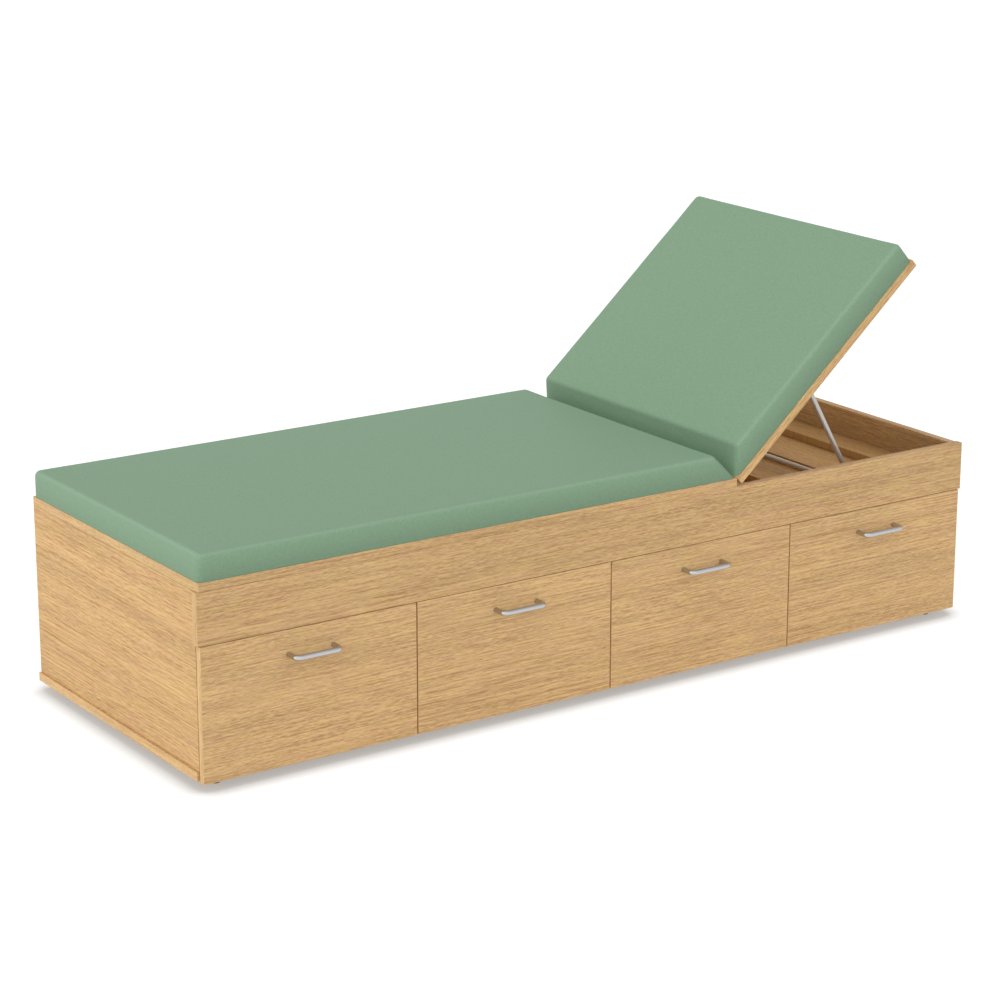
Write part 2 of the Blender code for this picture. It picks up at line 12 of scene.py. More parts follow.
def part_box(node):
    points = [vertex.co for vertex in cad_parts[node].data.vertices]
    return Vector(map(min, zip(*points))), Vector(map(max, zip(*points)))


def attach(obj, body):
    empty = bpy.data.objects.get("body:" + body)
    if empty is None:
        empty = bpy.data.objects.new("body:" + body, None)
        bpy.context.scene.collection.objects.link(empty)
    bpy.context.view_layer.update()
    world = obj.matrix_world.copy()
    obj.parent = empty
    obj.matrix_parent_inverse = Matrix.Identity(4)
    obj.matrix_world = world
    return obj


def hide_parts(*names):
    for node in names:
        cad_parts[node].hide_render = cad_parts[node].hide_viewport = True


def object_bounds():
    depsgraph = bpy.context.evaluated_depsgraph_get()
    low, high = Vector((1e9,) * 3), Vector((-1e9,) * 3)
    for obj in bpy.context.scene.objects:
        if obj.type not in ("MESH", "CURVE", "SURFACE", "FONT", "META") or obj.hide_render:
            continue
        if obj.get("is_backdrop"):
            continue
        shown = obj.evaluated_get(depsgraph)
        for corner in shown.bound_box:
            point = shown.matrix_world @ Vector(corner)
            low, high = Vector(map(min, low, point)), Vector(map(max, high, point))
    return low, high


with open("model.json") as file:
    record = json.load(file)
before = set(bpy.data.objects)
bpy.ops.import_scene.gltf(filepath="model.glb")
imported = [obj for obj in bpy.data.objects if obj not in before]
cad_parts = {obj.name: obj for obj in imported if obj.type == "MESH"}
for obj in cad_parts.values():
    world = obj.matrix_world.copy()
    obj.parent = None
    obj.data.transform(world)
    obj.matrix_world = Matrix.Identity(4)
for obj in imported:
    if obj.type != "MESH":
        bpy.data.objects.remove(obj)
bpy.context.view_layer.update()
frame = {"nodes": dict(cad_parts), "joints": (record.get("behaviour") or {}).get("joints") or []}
nodes = frame["nodes"]
joints = {joint["name"]: joint for joint in frame["joints"]}


# Case boards
# Oak laminate on 18 mm board: fine straight grain with short dark pores, banded edges.
# The long boards have the grain along the bed, the end panels and partitions across it.
def add_node(tree, kind, sockets=None, **settings):
    """A shader node with its settings; each socket takes a constant or another node's output."""
    made = tree.nodes.new("ShaderNode" + kind)
    for name, value in settings.items():
        setattr(made, name, value)
    for socket, value in (sockets or {}).items():
        if isinstance(value, bpy.types.NodeSocket):
            tree.links.new(value, made.inputs[socket])
        else:
            made.inputs[socket].default_value = value
    return made


def blank_material(name, roughness, metallic=0.0):
    """A material with only its shader, and the tree to add nodes to."""
    material = bpy.data.materials.new(name)
    material.use_nodes = True
    shader = material.node_tree.nodes["Principled BSDF"]
    shader.inputs["Roughness"].default_value = roughness
    shader.inputs["Metallic"].default_value = metallic
    return material, material.node_tree, shader


def node_group(name, vectors, values):
    """An empty shader group of vector inputs and value outputs; returns the tree and its two end nodes."""
    group = bpy.data.node_groups.new(name, "ShaderNodeTree")
    for label in vectors:
        group.interface.new_socket(label, in_out="INPUT", socket_type="NodeSocketVector")
    for label in values:
        group.interface.new_socket(label, in_out="OUTPUT", socket_type="NodeSocketFloat")
    return group, group.nodes.new("NodeGroupInput"), group.nodes.new("NodeGroupOutput")


def math_node(tree, operation, first, second=0.0):
    """The result of one sum on two values."""
    return add_node(tree, "Math", {0: first, 1: second}, operation=operation).outputs[0]


def vector_node(tree, operation, first, second=(0.0, 0.0, 0.0)):
    """The result of one sum on two vectors."""
    return add_node(tree, "VectorMath", {0: first, 1: second}, operation=operation).outputs[0]


def mix_colour(tree, amount, first, second, blend="MIX"):
    """Two colours mixed by an amount from 0 to 1, or the second laid over the first by another blend."""
    sockets = {0: amount, 6: first, 7: second}
    return add_node(tree, "Mix", sockets, data_type="RGBA", blend_type=blend).outputs[2]


def rescale(tree, value, low, high, from_low=0.0, from_high=1.0):
    """Maps from_low..from_high evenly to low..high, and keeps to it."""
    sockets = {"Value": value, "From Min": from_low, "From Max": from_high, "To Min": low, "To Max": high}
    return add_node(tree, "MapRange", sockets).outputs[0]


def spread(tree, value, low, high):
    """Maps low..high to 0..1, smoothly at both ends."""
    sockets = {"Value": value, "From Min": low, "From Max": high}
    return add_node(tree, "MapRange", sockets, interpolation_type="SMOOTHSTEP").outputs["Result"]


def stretched_noise(tree, place, cycles, detail, roughness=0.55):
    """Noise with its own count of cycles per metre along each axis."""
    sockets = {"Vector": vector_node(tree, "MULTIPLY", place, cycles), "Scale": 1.0, "Detail": detail,
               "Roughness": roughness}
    return add_node(tree, "TexNoise", sockets).outputs["Fac"]


def add_bump(tree, shader, height, strength, depth):
    """Raises a shader's surface by a height from 0 to 1, over a depth in metres."""
    bump = add_node(tree, "Bump", {"Strength": strength, "Distance": depth, "Height": height})
    tree.links.new(bump.outputs[0], shader.inputs["Normal"])


CYCLES = {"drift": (2.0, 5.0), "patch": (2.8, 30.0), "blush": (14.0, 90.0), "plain": (1.6, 17.0),
          "line": (4.0, 520.0), "tick": (75.0, 580.0), "fibre": (21.0, 550.0), "pore": (60.0, 900.0)}
EDGE_FACING = 0.7
DRIFT_REACH = 0.006
LINE_PITCH = 0.004
CRISP = 0.1
MIDDLE_TONE = 1.5
TONE_REACH = 0.4
GLEAM_RELIEF = 0.3
oak_figure, given, result = node_group(
    "oak_figure", ("Place", "Facing"), ("Patch", "Blush", "Gleam", "Streak", "Pore", "Band", "Relief"))


def figure_noise(place, mark, detail):
    """Noise of one mark of the figure, by its cycles per metre along and across the grain."""
    along, across = CYCLES[mark]
    return stretched_noise(oak_figure, place, (along, across, across), detail)


facing = add_node(oak_figure, "SeparateXYZ", {0: given.outputs["Facing"]})
end_on = math_node(oak_figure, "ABSOLUTE", facing.outputs[0])
band = math_node(oak_figure, "GREATER_THAN", end_on, EDGE_FACING)
axes = add_node(oak_figure, "SeparateXYZ", {0: given.outputs["Place"]}).outputs
turned = add_node(oak_figure, "CombineXYZ", {0: axes[2], 1: axes[1], 2: axes[0]})
grain = add_node(oak_figure, "Mix", {0: band, 4: given.outputs["Place"], 5: turned.outputs[0]},
                 data_type="VECTOR").outputs[1]
drift = math_node(oak_figure, "SUBTRACT", figure_noise(grain, "drift", 2.0), 0.5)
drift = math_node(oak_figure, "MULTIPLY", drift, DRIFT_REACH)
lift = add_node(oak_figure, "CombineXYZ", {1: drift, 2: drift}).outputs[0]
grain = vector_node(oak_figure, "ADD", grain, lift)
patch = spread(oak_figure, figure_noise(grain, "patch", 3.0), low=0.34, high=0.66)
blush = spread(oak_figure, figure_noise(grain, "blush", 2.0), low=0.3, high=0.7)
plain = spread(oak_figure, figure_noise(grain, "plain", 2.0), low=0.36, high=0.64)
more = rescale(oak_figure, plain, 0.7, 1.3)
less = math_node(oak_figure, "SUBTRACT", 2.0, more)


def line_tone(place):
    """Long lines, fibres and short ticks of the grain, added up."""
    lines = math_node(oak_figure, "MULTIPLY", figure_noise(place, "line", 1.0), more)
    ticks = math_node(oak_figure, "MULTIPLY", figure_noise(place, "tick", 1.0), less)
    fibres = figure_noise(place, "fibre", 1.0)
    return math_node(oak_figure, "ADD", math_node(oak_figure, "ADD", lines, ticks), fibres)


aside = vector_node(oak_figure, "ABSOLUTE", given.outputs["Facing"])
aside = vector_node(oak_figure, "SUBTRACT", (0.0, 1.0, 1.0), aside)
aside = vector_node(oak_figure, "MULTIPLY", aside, (0.0, LINE_PITCH, LINE_PITCH))
beside = [line_tone(vector_node(oak_figure, way, grain, aside)) for way in ("ADD", "SUBTRACT")]
around = math_node(oak_figure, "ADD", *beside)
tone = math_node(oak_figure, "SUBTRACT", math_node(oak_figure, "MULTIPLY", line_tone(grain), 1 + 2 * CRISP),
                 math_node(oak_figure, "MULTIPLY", around, CRISP))
gleam = rescale(oak_figure, tone, 0.0, 1.0, MIDDLE_TONE, MIDDLE_TONE + TONE_REACH)
streak = rescale(oak_figure, tone, 0.0, 1.0, MIDDLE_TONE, MIDDLE_TONE - TONE_REACH)
pore = spread(oak_figure, figure_noise(grain, "pore", 1.0), low=0.56, high=0.72)
relief = math_node(oak_figure, "SUBTRACT", math_node(oak_figure, "MULTIPLY", gleam, GLEAM_RELIEF), pore)
for label, value in (("Patch", patch), ("Blush", blush), ("Gleam", gleam), ("Streak", streak), ("Pore", pore),
                     ("Band", band), ("Relief", relief)):
    oak_figure.links.new(value, result.inputs[label])

LAMINATE_ROUGHNESS = (0.42, 0.58)
LAMINATE_SPECULAR = 0.1
PATCH_TONE = (0.92, 1.08)
MARK_SHARES = {"Gleam": 0.62, "Streak": 0.54, "Band": 0.3, "Pore": 0.28}
CORNER_REACH = 0.2
CORNER_TONE = 0.58


def wood_material(name, colours, turn, facing_turn=None, shift=(0, 0, 0), shade_corners=False, draw_out=1.0):
    """Board with the grain along X after turn, in its yellow, pink, gleam, streak and pore colours.

    A board that is closed in gets painted shade: its colour is darkened in its corners by ambient occlusion.
    The figure is longer along the grain by draw_out.
    """
    yellow, pink, bright, dark, dot = colours
    material, tree, shader = blank_material(name, LAMINATE_ROUGHNESS[0])
    shader.inputs["Specular IOR Level"].default_value = LAMINATE_SPECULAR
    source = add_node(tree, "TexCoord")
    sockets = {"Vector": source.outputs["Object"], "Rotation": turn, "Location": shift}
    place = add_node(tree, "Mapping", sockets).outputs[0]
    place = vector_node(tree, "MULTIPLY", place, (1 / draw_out, 1.0, 1.0))
    sockets = {"Vector": source.outputs["Normal"], "Rotation": facing_turn or turn}
    look = add_node(tree, "Mapping", sockets, vector_type="VECTOR").outputs[0]
    figure = add_node(tree, "Group", {"Place": place, "Facing": look}, node_tree=oak_figure)
    ground = mix_colour(tree, figure.outputs["Blush"], yellow, pink)
    ground = mix_colour(tree, 1.0, ground, rescale(tree, figure.outputs["Patch"], *PATCH_TONE), "MULTIPLY")
    for mark, colour in (("Gleam", bright), ("Streak", dark), ("Band", bright), ("Pore", dot)):
        amount = math_node(tree, "MULTIPLY", figure.outputs[mark], MARK_SHARES[mark])
        ground = mix_colour(tree, amount, ground, colour)
    # Painted shade: the colour is darkened where the board's corners are hemmed in by other boards.
    if shade_corners:
        openness = add_node(tree, "AmbientOcclusion", {"Distance": CORNER_REACH}, samples=16).outputs["AO"]
        corner_shade = rescale(tree, openness, CORNER_TONE, 1.0, from_low=0.3, from_high=0.95)
        ground = mix_colour(tree, 1.0, ground, corner_shade, "MULTIPLY")
    tree.links.new(ground, shader.inputs["Base Color"])
    shine = rescale(tree, figure.outputs["Streak"], *LAMINATE_ROUGHNESS)
    tree.links.new(shine, shader.inputs["Roughness"])
    add_bump(tree, shader, figure.outputs["Relief"], strength=0.25, depth=0.0004)
    return material


def finish_node(name, material):
    """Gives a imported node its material."""
    nodes[name].data.materials.clear()
    nodes[name].data.materials.append(material)


def cut_from(number, steps, start=(0, 0, 0)):
    """Where on its sheet a board is cut, so that no two boards share a figure."""
    return tuple(first + step * number for first, step in zip(start, steps))


ALONG_BED = (0, 0, 0)
ALONG_BED_FLAT = (math.radians(90), 0, 0)
ACROSS_BED = (0, 0, math.radians(-90))
OAK = ((0.704, 0.478, 0.219, 1), (0.676, 0.427, 0.229, 1), (0.905, 0.622, 0.288, 1),
       (0.424, 0.190, 0.065, 1), (0.332, 0.138, 0.047, 1))


def toned_oak(red, green, blue):
    """The oak colours toned by each share: for a batch of board, or darkened as painted shade."""
    return [(colour[0] * red, colour[1] * green, colour[2] * blue, 1) for colour in OAK]


RAIL_OAK = toned_oak(0.935, 0.93, 0.925)
FOOT_OAK = toned_oak(0.985, 0.95, 0.885)
# Painted shade: the head panel and the boards in the compartment are toned darker than the rest.
SHADED_HEAD_OAK = toned_oak(0.89, 0.9, 0.9)
SHADED_OAK = toned_oak(0.91, 0.88, 0.77)
FOOT_DRAW_OUT = 1.6
board_tones = {"front_rail": RAIL_OAK, "deck_board": RAIL_OAK, "foot_end_panel": FOOT_OAK,
           "head_end_panel": SHADED_HEAD_OAK, "compartment_floor": SHADED_OAK}
# These boards get painted shade in their corners.
around_compartment = ("head_end_panel", "back_panel", "compartment_floor", "compartment_divider")
case_boards = {
    "bottom_board": ALONG_BED_FLAT, "foot_end_panel": ACROSS_BED, "head_end_panel": ACROSS_BED,
    "back_panel": ALONG_BED, "partition_1": ACROSS_BED, "partition_2": ACROSS_BED, "partition_3": ACROSS_BED,
    "compartment_floor": ACROSS_BED, "front_rail": ALONG_BED, "deck_board": ALONG_BED_FLAT,
    "deck_bearer": ACROSS_BED, "compartment_divider": ACROSS_BED,
}
for place_in_stack, (board, turn) in enumerate(case_boards.items()):
    board_oak = wood_material("oak_" + board, board_tones.get(board, OAK), turn,
                              shift=cut_from(place_in_stack, (0.37, 0.23, 0.19)),
                              shade_corners=board in around_compartment,
                              draw_out=FOOT_DRAW_OUT if board == "foot_end_panel" else 1.0)
    finish_node(board, board_oak)


# Steps in the head compartment
# Three laminate boards, each shorter than the one below, glued in a stack.
# Their banded front edges have upright grain.
# Painted shade: the steps take the darkened compartment oak, and are darker still in their corners.
for number in (1, 2, 3):
    step_oak = wood_material(f"oak_step_{number}", SHADED_OAK, ACROSS_BED, ALONG_BED,
                             cut_from(number, (0.41, 0.13, 0), (0, 0, 0.3)), shade_corners=True)
    finish_node(f"step_board_{number}", step_oak)


# Glides under the corners
# Turned feet of black moulded plastic, nailed under the bottom board.
glide_plastic, tree, shader = blank_material("glide_black_plastic", 0.5)
source = add_node(tree, "TexCoord")
speckle = stretched_noise(tree, source.outputs["Object"], (900.0, 900.0, 900.0), 3.0)
add_bump(tree, shader, speckle, strength=0.3, depth=0.0002)
black = mix_colour(tree, speckle, (0.012, 0.012, 0.012, 1), (0.03, 0.03, 0.03, 1))
tree.links.new(black, shader.inputs["Base Color"])
for end in ("foot", "head"):
    for side in ("front", "back"):
        finish_node(f"glide_{end}_{side}", glide_plastic)


# Drawer slides, hinge and stay brackets
# Zinc plated sheet steel, pressed and rolled, with a faint cloudy bloom of the plating.
zinc_steel, tree, shader = blank_material("zinc_plated_steel", 0.4, 1.0)
source = add_node(tree, "TexCoord")
cloud = stretched_noise(tree, source.outputs["Object"], (38.0, 38.0, 38.0), 4.0)
plating = mix_colour(tree, cloud, (0.50, 0.51, 0.53, 1), (0.66, 0.67, 0.68, 1))
tree.links.new(plating, shader.inputs["Base Color"])
tree.links.new(rescale(tree, cloud, 0.32, 0.5), shader.inputs["Roughness"])
add_bump(tree, shader, cloud, strength=0.12, depth=0.0003)
for name in nodes:
    if "_slide_" in name or name.startswith(("hinge_", "stay_bracket")):
        finish_node(name, zinc_steel)


# Drawer boxes
# Grooved sides and thin bottoms of pale birch board, behind oak laminate fronts.
BIRCH = ((0.74, 0.58, 0.38, 1), (0.70, 0.55, 0.37, 1), (0.80, 0.66, 0.47, 1), (0.64, 0.48, 0.30, 1),
         (0.55, 0.39, 0.23, 1))
birch_board = wood_material("birch_box", BIRCH, ACROSS_BED)
for number in (1, 2, 3, 4):
    finish_node(f"drawer_box_{number}", birch_board)
    finish_node(f"drawer_bottom_{number}", birch_board)
    front_oak = wood_material(f"oak_drawer_front_{number}", OAK, ALONG_BED,
                              shift=cut_from(number, (0.83, 0, 0.067), (0, 0.5, 0)))
    finish_node(f"drawer_front_{number}", front_oak)


# Drawer handles
# Bow handles bent from round bar in satin chrome, bolted through each drawer front.
def add_object(name, data):
    """A new object in the scene."""
    made = bpy.data.objects.new(name, data)
    bpy.context.scene.collection.objects.link(made)
    return made


def round_bar(name, corners, bend, radius, bend_steps=12):
    """A smooth bent bar along straight runs, closed at both ends."""
    corners = [Vector(corner) for corner in corners]
    path = [corners[0]]
    for before, corner, after in zip(corners, corners[1:], corners[2:]):
        back = (before - corner).normalized()
        ahead = (after - corner).normalized()
        half = back.angle(ahead) / 2
        centre = corner + (back + ahead).normalized() * (bend / math.sin(half))
        start = corner + back * (bend / math.tan(half)) - centre
        end = corner + ahead * (bend / math.tan(half)) - centre
        path += [centre + start.slerp(end, step / bend_steps) * bend for step in range(bend_steps + 1)]
    path.append(corners[-1])
    curve = bpy.data.curves.new(name, "CURVE")
    curve.dimensions = "3D"
    curve.bevel_depth = radius
    curve.bevel_resolution = 10
    curve.use_fill_caps = True
    spline = curve.splines.new("POLY")
    spline.points.add(len(path) - 1)
    for point, spot in zip(spline.points, path):
        point.co = (*spot, 1.0)
    spline.use_smooth = True
    return add_object(name, curve)


def polished_metal(name, dark, light, roughness, metallic=1.0):
    """Drawn bar: bright, with faint polishing streaks."""
    material, tree, shader = blank_material(name, roughness[0], metallic)
    source = add_node(tree, "TexCoord")
    streaks = stretched_noise(tree, source.outputs["Object"], (140.0, 900.0, 900.0), 3.0)
    tree.links.new(mix_colour(tree, streaks, dark, light), shader.inputs["Base Color"])
    tree.links.new(rescale(tree, streaks, *roughness), shader.inputs["Roughness"])
    add_bump(tree, shader, streaks, strength=0.05, depth=0.00002)
    return material


HANDLE_BAR = 0.011
HANDLE_BEND = 0.011
handle_chrome = polished_metal("satin_chrome", (0.50, 0.50, 0.51, 1), (0.54, 0.54, 0.55, 1), (0.10, 0.16))
for number in (1, 2, 3, 4):
    low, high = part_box(f"drawer_handle_{number}")
    left = low.x + HANDLE_BAR / 2
    right = high.x - HANDLE_BAR / 2
    bar_y = low.y + HANDLE_BAR / 2
    level = (low.z + high.z) / 2
    corners = [(left, high.y, level), (left, bar_y, level), (right, bar_y, level), (right, high.y, level)]
    handle = round_bar(f"bow_handle_{number}", corners, HANDLE_BEND, HANDLE_BAR / 2)
    handle.data.materials.append(handle_chrome)
    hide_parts(f"drawer_handle_{number}")
    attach(handle, f"drawer_{number}")


# Handle bolts and bumpers
# Each handle is held by two pan head bolts from inside the drawer front, over the box.
# Black domed bumpers pressed into the front's upper corners meet the case.
BOLT_HEAD = 0.0042
BOLT_RISE = 0.0026
HEAD_PROFILE = ((0.0, 1.0), (0.45, 0.96), (0.8, 0.78), (0.96, 0.45), (1.0, 0.15), (1.0, 0.0), (0.0, 0.0))
RECESS_DEPTH = 0.0013
RECESS_ARM = 0.62
RECESS_WIDTH = 0.17
WELD = 0.00001


def turned_mesh(name, profile, steps):
    """A mesh turned about Z from a profile of radius and height."""
    lathe = bmesh.new()
    ring = [lathe.verts.new((radius, 0, height)) for radius, height in profile]
    edges = [lathe.edges.new(pair) for pair in zip(ring, ring[1:])]
    bmesh.ops.spin(lathe, geom=ring + edges, cent=(0, 0, 0), axis=(0, 0, 1), angle=math.tau, steps=steps,
                   use_merge=True)
    bmesh.ops.remove_doubles(lathe, verts=lathe.verts, dist=WELD)
    bmesh.ops.recalc_face_normals(lathe, faces=lathe.faces[:])
    mesh = bpy.data.meshes.new(name)
    lathe.to_mesh(mesh)
    lathe.free()
    return mesh


def smooth_to(mesh, degrees):
    """Shades a mesh smooth, but for edges that turn by more than these degrees."""
    mesh.shade_smooth()
    mesh.set_sharp_from_angle(angle=math.radians(degrees))


def pan_head(name):
    """A turned screw head with a cross recess, seated at the origin and rising along Z."""
    profile = [(across * BOLT_HEAD, up * BOLT_RISE) for across, up in HEAD_PROFILE]
    head = add_object(name, turned_mesh(name, profile, steps=24))
    cross = bmesh.new()
    for length, width in ((RECESS_ARM, RECESS_WIDTH), (RECESS_WIDTH, RECESS_ARM)):
        bar = bmesh.ops.create_cube(cross, size=1.0)["verts"]
        bar_size = (2 * length * BOLT_HEAD, 2 * width * BOLT_HEAD, 2 * RECESS_DEPTH)
        bmesh.ops.scale(cross, vec=bar_size, verts=bar)
        bmesh.ops.translate(cross, vec=(0, 0, BOLT_RISE), verts=bar)
    cross_mesh = bpy.data.meshes.new(name + "_recess")
    cross.to_mesh(cross_mesh)
    cross.free()
    recess = add_object(name + "_recess", cross_mesh)
    boolean = head.modifiers.new("recess", "BOOLEAN")
    boolean.object = recess
    boolean.use_self = True
    cut_mesh = bpy.data.meshes.new_from_object(head.evaluated_get(bpy.context.evaluated_depsgraph_get()))
    for piece in (head, recess):
        bpy.data.objects.remove(piece)
    smooth_to(cut_mesh, 40)
    cut_mesh.materials.append(zinc_steel)
    return cut_mesh


def place_copy(name, mesh, matrix, body):
    """A copy of a small fitting, seated by matrix and moving with its body."""
    fitting = add_object(name, mesh.copy())
    fitting.data.transform(matrix)
    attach(fitting, body)


def dome(name, radius, rise, arc_steps=6):
    """A low lens shaped bumper, flat at the origin and rising along Z."""
    turns = [math.radians(90) * step / arc_steps for step in range(arc_steps + 1)]
    profile = [(0, 0)] + [(radius * math.cos(turn), rise * math.sin(turn)) for turn in turns]
    mesh = turned_mesh(name, profile, steps=20)
    smooth_to(mesh, 50)
    return mesh


BUMPER_RADIUS = 0.003
BUMPER_RISE = 0.0019
BUMPER_EDGE = 0.004
BUMPER_DROP = 0.05
bumper_mesh = dome("bumper", BUMPER_RADIUS, BUMPER_RISE)
bumper_mesh.materials.append(glide_plastic)
bolt_mesh = pan_head("handle_bolt")
face_back = Matrix.Rotation(math.radians(-90), 4, "X")
for number in (1, 2, 3, 4):
    low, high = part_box(f"drawer_front_{number}")
    grip_low, grip_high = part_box(f"drawer_handle_{number}")
    level = (grip_low.z + grip_high.z) / 2
    for side, bolt_x, bumper_x in (("left", grip_low.x + HANDLE_BAR / 2, low.x + BUMPER_EDGE),
                                   ("right", grip_high.x - HANDLE_BAR / 2, high.x - BUMPER_EDGE)):
        seat = Matrix.Translation((bolt_x, high.y, level)) @ face_back
        place_copy(f"handle_bolt_{number}_{side}", bolt_mesh, seat, f"drawer_{number}")
        seat = Matrix.Translation((bumper_x, high.y, high.z - BUMPER_DROP)) @ face_back
        place_copy(f"bumper_{number}_{side}", bumper_mesh, seat, f"drawer_{number}")


# Backrest board
# One laminate panel on the hinge, grain along the bed, its edges banded all round.
hinge = Vector(joints["backrest_tilt"]["pos_m"])
raised = math.radians(-joints["backrest_tilt"]["range_deg"][0])
lay_flat = (Matrix.Rotation(math.radians(90), 3, "X") @ Matrix.Rotation(raised, 3, "Y")).to_euler()
BACKREST_OAK = toned_oak(1.03, 1.01, 0.97)
finish_node("backrest_board", wood_material("oak_backrest", BACKREST_OAK, lay_flat, shift=(0.7, 0.31, 0.11)))


# Screws of the stay brackets
# Two pan head screws hold each bracket's flange under the backrest board.
BRACKET_SHEET = 0.003
SCREW_FROM_END = 0.009
lie_down = Matrix.Rotation(raised, 4, "Y") @ Matrix.Translation(-hinge)


def flat_box(node, to_flat):
    """A node's corners in the frame that lays it flat."""
    places = [to_flat @ vert.co for vert in nodes[node].data.vertices]
    low = Vector([min(place[axis] for place in places) for axis in range(3)])
    high = Vector([max(place[axis] for place in places) for axis in range(3)])
    return low, high


face_down = Matrix.Rotation(math.radians(180), 4, "X")
for side in ("front", "back"):
    low, high = flat_box(f"stay_bracket_{side}", lie_down)
    across = low.y + SCREW_FROM_END if side == "front" else high.y - SCREW_FROM_END
    for end, along in (("foot", low.x + SCREW_FROM_END), ("head", high.x - SCREW_FROM_END)):
        seat = lie_down.inverted() @ Matrix.Translation((along, across, high.z - BRACKET_SHEET)) @ face_down
        place_copy(f"bracket_screw_{side}_{end}", bolt_mesh, seat, "backrest")


# Stay
# A single bright steel rod, bent to a U, that hangs from two brackets under the backrest.
# Its cross bar drops on to the steps and props the backrest.
ROD = 0.011
STAY_BEND = 0.016
PIN_REACH = 0.022
pivot = Vector(joints["stay_swing"]["pos_m"])
low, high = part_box("stay_rod")
bar_place = Vector((high.x - ROD / 2, 0, low.z + ROD / 2))
leg_front = low.y + PIN_REACH
leg_back = high.y - PIN_REACH
corners = [(pivot.x, low.y, pivot.z), (pivot.x, leg_front, pivot.z), (bar_place.x, leg_front, bar_place.z),
           (bar_place.x, leg_back, bar_place.z), (pivot.x, leg_back, pivot.z), (pivot.x, high.y, pivot.z)]
stay = round_bar("bent_stay", corners, STAY_BEND, ROD / 2)
drawn_steel = polished_metal("drawn_steel", (0.52, 0.50, 0.47, 1), (0.60, 0.58, 0.54, 1), (0.34, 0.46),
                             metallic=0.6)
stay.data.materials.append(drawn_steel)
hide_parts("stay_rod")
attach(stay, "stay")


# Cushions
# Foam pads in sage green coated vinyl, pulled tight, with a bevelled end at the hinge.
# The vinyl is blown up over the foam as cloth, and its base stays flat on the board.
# Its colour carries painted light: a painted highlight along the top edges, painted shade at its base and
# down its sides, and on the bevels painted shade at the top and painted light at the base.
VINYL_DEEP = (0.206, 0.335, 0.213, 1)
VINYL_LIGHT = (0.291, 0.437, 0.297, 1)
VINYL_HIGHLIGHT = (0.350, 0.490, 0.360, 1)
HIGHLIGHT_SHARE = 0.4
SHADE_SHARE = 0.13
vinyl, tree, shader = blank_material("sage_vinyl", 0.5)
shader.inputs["Specular IOR Level"].default_value = 0.08
source = add_node(tree, "TexCoord")
fleck = stretched_noise(tree, source.outputs["Object"], (620.0, 620.0, 620.0), 2.0)
mottle = stretched_noise(tree, source.outputs["Object"], (170.0, 170.0, 170.0), 2.0)
cast = math_node(tree, "ADD", math_node(tree, "MULTIPLY", fleck, 0.8),
                 math_node(tree, "MULTIPLY", mottle, 0.2))
green = mix_colour(tree, spread(tree, cast, low=0.25, high=0.75), VINYL_DEEP, VINYL_LIGHT)
# Painted highlight: paler vinyl along the rounded top edges.
highlight_mask = add_node(tree, "Attribute", attribute_name="edge_highlight").outputs["Fac"]
green = mix_colour(tree, math_node(tree, "MULTIPLY", highlight_mask, HIGHLIGHT_SHARE), green, VINYL_HIGHLIGHT)
# Painted shade and light: darker at the base and down the sides; on the bevels darker at the top and lighter
# at the base.
shade_mask = add_node(tree, "Attribute", attribute_name="painted_shade").outputs["Fac"]
shade_factor = math_node(tree, "SUBTRACT", 1.0, math_node(tree, "MULTIPLY", shade_mask, SHADE_SHARE))
green = mix_colour(tree, 1.0, green, shade_factor, "MULTIPLY")
tree.links.new(green, shader.inputs["Base Color"])
leathering = add_node(tree, "TexVoronoi", {"Vector": source.outputs["Object"], "Scale": 780.0},
                      feature="SMOOTH_F1").outputs["Distance"]
skin = math_node(tree, "ADD", leathering, math_node(tree, "MULTIPLY", fleck, 0.6))
add_bump(tree, shader, skin, strength=0.22, depth=0.0003)
tree.links.new(rescale(tree, mottle, 0.4, 0.54), shader.inputs["Roughness"])

CELL = 0.018
EDGE_CUTS = (0.0014, 0.0031, 0.005, 0.0073, 0.0102, 0.014)
SWEEPS = 14
NEAR = 0.0005
SOFT_EDGE = 0.0115
SOFT_CORNER = 0.0136
CORNER_TURNS = (math.radians(30), math.radians(60))


def grid_cuts(length, from_low):
    """Where to cut a side into cells: close together at its rounded ends."""
    cuts = list(EDGE_CUTS) if from_low else []
    cuts += [length - cut for cut in EDGE_CUTS]
    count = round(length / CELL)
    near = EDGE_CUTS[-1] + CELL / 3
    cuts += [step * length / count for step in range(1, count)
             if near < step * length / count < length - near]
    return sorted(cuts)


def nearest_inside(point, planes):
    """The closest point of a block given by planes, found by repeated projection on each."""
    place = point.copy()
    left_over = [Vector() for plane in planes]
    for sweep in range(SWEEPS):
        for number, (normal, reach) in enumerate(planes):
            aim = place + left_over[number]
            place = aim - normal * max(0.0, aim.dot(normal) - reach)
            left_over[number] = aim - place
    return place


def pad_planes(low, high, thickness, bevel_foot, bevel_head):
    """The planes of a pad's two ends, and all its planes, with those that round its upright corners."""
    foot_normal = Vector((-thickness, 0, bevel_foot)).normalized()
    head_normal = Vector((thickness, 0, bevel_head)).normalized()
    ends = [(foot_normal, foot_normal.dot(low)), (head_normal, head_normal.dot(Vector((high.x, 0, low.z))))]
    sides = [(Vector((0, -1, 0)), -low.y), (Vector((0, 1, 0)), high.y)]
    planes = ends + sides + [(Vector((0, 0, 1)), low.z + thickness)]
    for end_normal, end_reach in ends:
        for side_normal, side_reach in sides:
            for turn in CORNER_TURNS:
                to_end = math.cos(turn)
                to_side = math.sin(turn)
                reach = (to_end * (end_reach - SOFT_CORNER) + to_side * (side_reach - SOFT_CORNER)
                         + SOFT_CORNER)
                planes.append((to_end * end_normal + to_side * side_normal, reach))
    return ends, planes


EDGE_TURN = 0.293
LEAST_SLOPE = 0.01
BEVEL_BASE = 1.6
BEVEL_RISE = 4.3
BEVEL_BEND = 1.5
SIDE_SHADE = 1.5
SIDE_FALL = 4
SHADE_HEIGHT = 0.017


